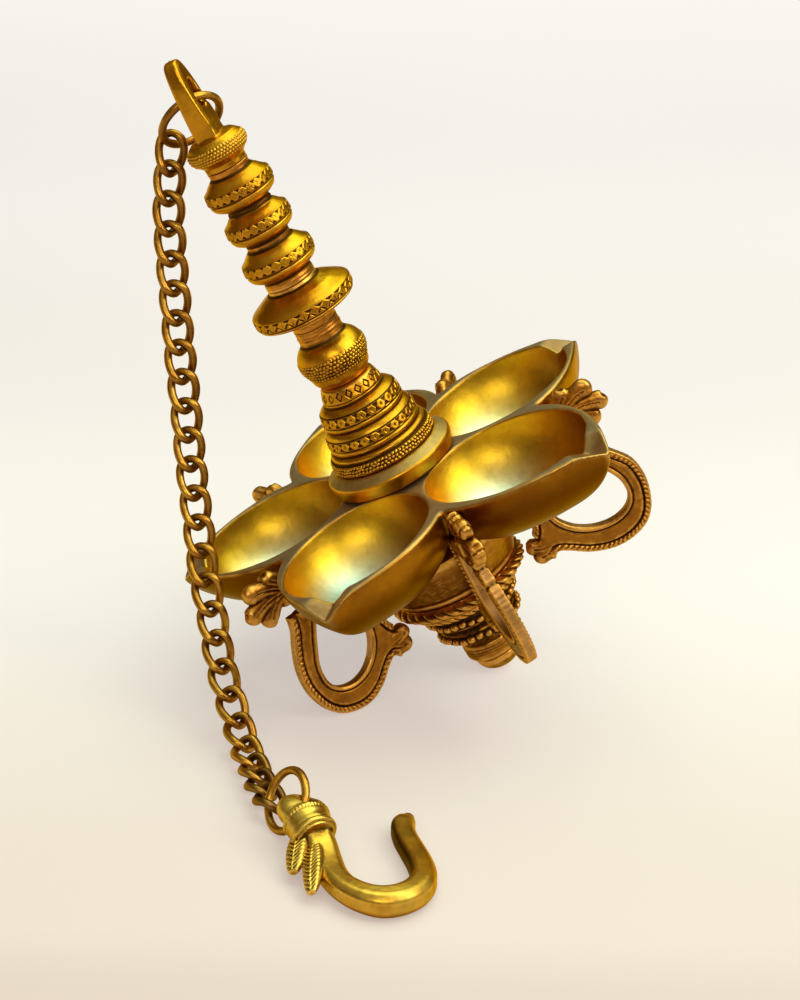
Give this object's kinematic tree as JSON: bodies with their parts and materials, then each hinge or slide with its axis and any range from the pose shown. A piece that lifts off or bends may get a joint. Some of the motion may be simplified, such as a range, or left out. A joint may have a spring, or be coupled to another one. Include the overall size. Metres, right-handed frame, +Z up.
{
  "type": "hanging oil lamp",
  "caption": "Brass hanging oil lamp: a dish of wick bowls on a turned stem, loop brackets and a stepped boss below, an eye and ring above, and a link chain with a ring and hook.",
  "frame": {"origin": "middle of the object's bounding box, on the surface it stands on", "axes": "+Z up; +Y away from the hook end, the picture's line of sight; +X to the right in the picture"},
  "size_m": [0.145, 0.2064, 0.1851],
  "materials": {
    "dish_brass": "satin, bright worn inside the bowls",
    "turned_brass": "satin antique, polished high spots and dark grooves",
    "patina_brass": "dark copper-brown patina, rubbed edges",
    "chain_brass": "satin wire, brown in the shade",
    "hook_brass": "satin cast brass",
    "rod_brass": "plain drawn rod"
  },
  "bodies": {
    "lamp": {"top_eye": "turned_brass", "upper_stem": "turned_brass", "stem_disc": "turned_brass", "stem_ball": "turned_brass", "stem_cone": "turned_brass", "tie_rod": "rod_brass", "petal_dish": "dish_brass", "bracket_ab": "patina_brass", "bracket_bc": "patina_brass", "bracket_cd": "patina_brass", "bracket_de": "patina_brass", "bracket_ea": "patina_brass", "lower_cup": "patina_brass", "rope_ring": "patina_brass", "lower_boss": "patina_brass", "foot_finial": "patina_brass"},
    "top_ring": {"top_ring": "chain_brass"},
    "chain_link_01": {"chain_link_01": "chain_brass"},
    "chain_link_02": {"chain_link_02": "chain_brass"},
    "chain_link_03": {"chain_link_03": "chain_brass"},
    "chain_link_04": {"chain_link_04": "chain_brass"},
    "chain_link_05": {"chain_link_05": "chain_brass"},
    "chain_link_06": {"chain_link_06": "chain_brass"},
    "chain_link_07": {"chain_link_07": "chain_brass"},
    "chain_link_08": {"chain_link_08": "chain_brass"},
    "chain_link_09": {"chain_link_09": "chain_brass"},
    "chain_link_10": {"chain_link_10": "chain_brass"},
    "chain_link_11": {"chain_link_11": "chain_brass"},
    "chain_link_12": {"chain_link_12": "chain_brass"},
    "chain_link_13": {"chain_link_13": "chain_brass"},
    "chain_link_14": {"chain_link_14": "chain_brass"},
    "chain_link_15": {"chain_link_15": "chain_brass"},
    "chain_link_16": {"chain_link_16": "chain_brass"},
    "chain_link_17": {"chain_link_17": "chain_brass"},
    "chain_link_18": {"chain_link_18": "chain_brass"},
    "chain_link_19": {"chain_link_19": "chain_brass"},
    "chain_link_20": {"chain_link_20": "chain_brass"},
    "chain_link_21": {"chain_link_21": "chain_brass"},
    "chain_link_22": {"chain_link_22": "chain_brass"},
    "chain_link_23": {"chain_link_23": "chain_brass"},
    "chain_link_24": {"chain_link_24": "chain_brass"},
    "chain_link_25": {"chain_link_25": "chain_brass"},
    "hook_ring": {"hook_ring": "chain_brass"},
    "hook": {"hook": "hook_brass"}
  },
  "joints": [
    {"name": "top_ring_swing", "type": "hinge", "parent": "lamp", "child": "top_ring", "pos_m": [-0.06134, 0.03071, 0.17409], "axis": [0.7735, 0.6236, -0.1129], "range_deg": [-2, 40.5]},
    {"name": "chain_link_01_swing", "type": "hinge", "parent": "top_ring", "child": "chain_link_01", "pos_m": [-0.0679, 0.03602, 0.16031], "axis": [0.4679, 0.7559, -0.4579], "range_deg": [-2, 40.5]},
    {"name": "chain_link_02_swing", "type": "hinge", "parent": "chain_link_01", "child": "chain_link_02", "pos_m": [-0.06763, 0.035, 0.15169], "axis": [0.4245, 0.8903, -0.165], "range_deg": [-2, 24.8]},
    {"name": "chain_link_03_swing", "type": "hinge", "parent": "chain_link_02", "child": "chain_link_03", "pos_m": [-0.06807, 0.03424, 0.1463], "axis": [0.904, -0.4208, 0.0751], "range_deg": [-31.5, 2]},
    {"name": "chain_link_04_swing", "type": "hinge", "parent": "chain_link_03", "child": "chain_link_04", "pos_m": [-0.06799, 0.0324, 0.1351], "axis": [-0.4274, -0.8926, 0.1435], "range_deg": [-27, 2]},
    {"name": "chain_link_05_swing", "type": "hinge", "parent": "chain_link_04", "child": "chain_link_05", "pos_m": [-0.06752, 0.0314, 0.12975], "axis": [-0.9, 0.4074, -0.1551], "range_deg": [-2, 24.8]},
    {"name": "chain_link_06_swing", "type": "hinge", "parent": "chain_link_05", "child": "chain_link_06", "pos_m": [-0.06657, 0.02926, 0.11864], "axis": [0.4278, 0.8937, -0.1349], "range_deg": [-2, 24.8]},
    {"name": "chain_link_07_swing", "type": "hinge", "parent": "chain_link_06", "child": "chain_link_07", "pos_m": [-0.06606, 0.0282, 0.11334], "axis": [0.8989, -0.4043, 0.1691], "range_deg": [-24.8, 2]},
    {"name": "chain_link_08_swing", "type": "hinge", "parent": "chain_link_07", "child": "chain_link_08", "pos_m": [-0.06506, 0.02581, 0.10229], "axis": [-0.4292, -0.8901, 0.1535], "range_deg": [-24.8, 4]},
    {"name": "chain_link_09_swing", "type": "hinge", "parent": "chain_link_08", "child": "chain_link_09", "pos_m": [-0.06447, 0.02459, 0.09702], "axis": [-0.8961, 0.3968, -0.1988], "range_deg": [-2, 22.5]},
    {"name": "chain_link_10_swing", "type": "hinge", "parent": "chain_link_09", "child": "chain_link_10", "pos_m": [-0.06325, 0.02186, 0.08606], "axis": [0.4306, 0.8859, -0.1726], "range_deg": [-4, 24.8]},
    {"name": "chain_link_11_swing", "type": "hinge", "parent": "chain_link_10", "child": "chain_link_11", "pos_m": [-0.06278, 0.02048, 0.08085], "axis": [0.895, -0.3934, 0.2103], "range_deg": [-27, 4]},
    {"name": "chain_link_12_swing", "type": "hinge", "parent": "chain_link_11", "child": "chain_link_12", "pos_m": [-0.06162, 0.01732, 0.07], "axis": [-0.4343, -0.8762, 0.209], "range_deg": [-24.8, 6.8]},
    {"name": "chain_link_13_swing", "type": "hinge", "parent": "chain_link_12", "child": "chain_link_13", "pos_m": [-0.06092, 0.01571, 0.06486], "axis": [-0.8888, 0.3767, -0.261], "range_deg": [-9, 24.8]},
    {"name": "chain_link_14_swing", "type": "hinge", "parent": "chain_link_13", "child": "chain_link_14", "pos_m": [-0.05939, 0.01196, 0.05425], "axis": [0.4381, 0.8656, -0.2427], "range_deg": [-11.2, 24.8]},
    {"name": "chain_link_15_swing", "type": "hinge", "parent": "chain_link_14", "child": "chain_link_15", "pos_m": [-0.05882, 0.01002, 0.04922], "axis": [0.8805, -0.3538, 0.3155], "range_deg": [-29.2, 20.2]},
    {"name": "chain_link_16_swing", "type": "hinge", "parent": "chain_link_15", "child": "chain_link_16", "pos_m": [-0.05699, 0.00546, 0.03899], "axis": [-0.4458, -0.8444, 0.2973], "range_deg": [-29.2, 20.2]},
    {"name": "chain_link_17_swing", "type": "hinge", "parent": "chain_link_16", "child": "chain_link_17", "pos_m": [-0.0557, 0.00306, 0.03416], "axis": [-0.8628, 0.3053, -0.4029], "range_deg": [-27, 22.5]},
    {"name": "chain_link_18_swing", "type": "hinge", "parent": "chain_link_17", "child": "chain_link_18", "pos_m": [-0.05332, -0.00271, 0.02468], "axis": [0.4599, 0.805, -0.3748], "range_deg": [-24.8, 24.8]},
    {"name": "chain_link_19_swing", "type": "hinge", "parent": "chain_link_18", "child": "chain_link_19", "pos_m": [-0.05226, -0.00583, 0.02024], "axis": [0.8247, -0.2015, 0.5284], "range_deg": [-29.2, 22.5]},
    {"name": "chain_link_20_swing", "type": "hinge", "parent": "chain_link_19", "child": "chain_link_20", "pos_m": [-0.04905, -0.01334, 0.01236], "axis": [-0.4898, -0.7216, 0.4893], "range_deg": [-31.5, 18]},
    {"name": "chain_link_21_swing", "type": "hinge", "parent": "chain_link_20", "child": "chain_link_21", "pos_m": [-0.04716, -0.01747, 0.00891], "axis": [-0.7596, 0.0203, -0.6501], "range_deg": [-22.5, 24.8]},
    {"name": "chain_link_22_swing", "type": "hinge", "parent": "chain_link_21", "child": "chain_link_22", "pos_m": [-0.04362, -0.02729, 0.00446], "axis": [0.5705, 0.5007, -0.651], "range_deg": [-24.8, 24.8]},
    {"name": "chain_link_23_swing", "type": "hinge", "parent": "chain_link_22", "child": "chain_link_23", "pos_m": [-0.04192, -0.03234, 0.00411], "axis": [0.6823, 0.1897, 0.706], "range_deg": [-6.8, 36]},
    {"name": "chain_link_24_swing", "type": "hinge", "parent": "chain_link_23", "child": "chain_link_24", "pos_m": [-0.03863, -0.0432, 0.00384], "axis": [-0.6709, -0.2212, 0.7078], "range_deg": [-20.2, 24.8]},
    {"name": "chain_link_25_swing", "type": "hinge", "parent": "chain_link_24", "child": "chain_link_25", "pos_m": [-0.03711, -0.04824, 0.00413], "axis": [-0.6513, -0.2782, -0.706], "range_deg": [-29.2, 20.2]},
    {"name": "hook_ring_swing", "type": "hinge", "parent": "chain_link_25", "child": "hook_ring", "pos_m": [-0.0346, -0.05657, 0.0045], "axis": [0.067, 0.7243, 0.6863], "range_deg": [-40.5, 13.5]},
    {"name": "hook_swing", "type": "hinge", "parent": "hook_ring", "child": "hook", "pos_m": [-0.02608, -0.06773, 0.00904], "axis": [0.387, 0.272, 0.881], "range_deg": [-40.5, 40.5]}
  ]
}
